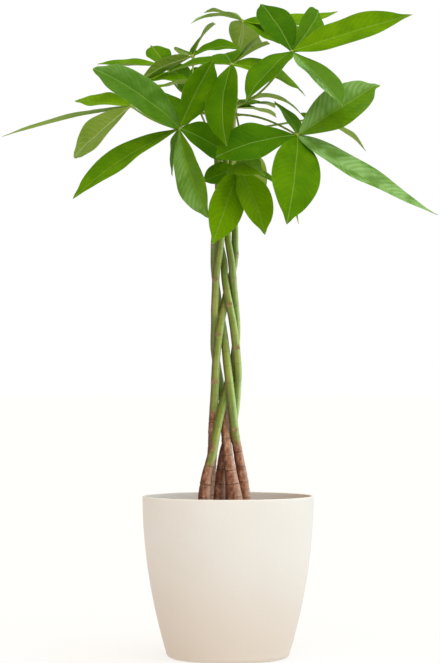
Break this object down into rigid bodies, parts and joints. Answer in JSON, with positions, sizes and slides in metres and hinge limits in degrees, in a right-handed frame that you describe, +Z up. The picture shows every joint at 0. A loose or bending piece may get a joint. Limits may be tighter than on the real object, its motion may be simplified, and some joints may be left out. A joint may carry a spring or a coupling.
{
  "type": "potted money tree",
  "caption": "House plant in a thin-walled round planter: braided stems with swollen feet stand in soil and carry hand-shaped compound leaves in a wide, loose crown",
  "frame": {"origin": "on the pot's axis, at the underside of its base", "axes": "+Z up along the pot's axis, +X to the plant's right as seen from its front, -Y toward its front"},
  "size_m": [0.502, 0.3202, 0.7766],
  "materials": {
    "pot_plastic": "smooth matt cream plastic",
    "soil": "loose dark potting mix with fibres",
    "bark": "green bark above, brown flaky bark with rings at the feet",
    "leaf_green": "waxy green upper side with pale veins, duller pale underside"
  },
  "bodies": {
    "root": {"pot": "pot_plastic", "potting_soil": "soil", "stem_left": "bark", "stem_back": "bark", "stem_centre": "bark", "stem_right": "bark", "stem_hidden": "bark", "leaf_upper_right": "leaf_green", "leaf_top": "leaf_green", "leaf_top_front": "leaf_green", "leaf_left": "leaf_green", "leaf_right": "leaf_green", "leaf_low_front": "leaf_green", "leaf_far_left": "leaf_green", "leaf_upper_left": "leaf_green", "leaf_outer_left": "leaf_green", "leaf_inner_left": "leaf_green", "leaf_inner_right": "leaf_green", "leaf_back_right": "leaf_green", "leaf_low_back": "leaf_green"}
  },
  "joints": []
}
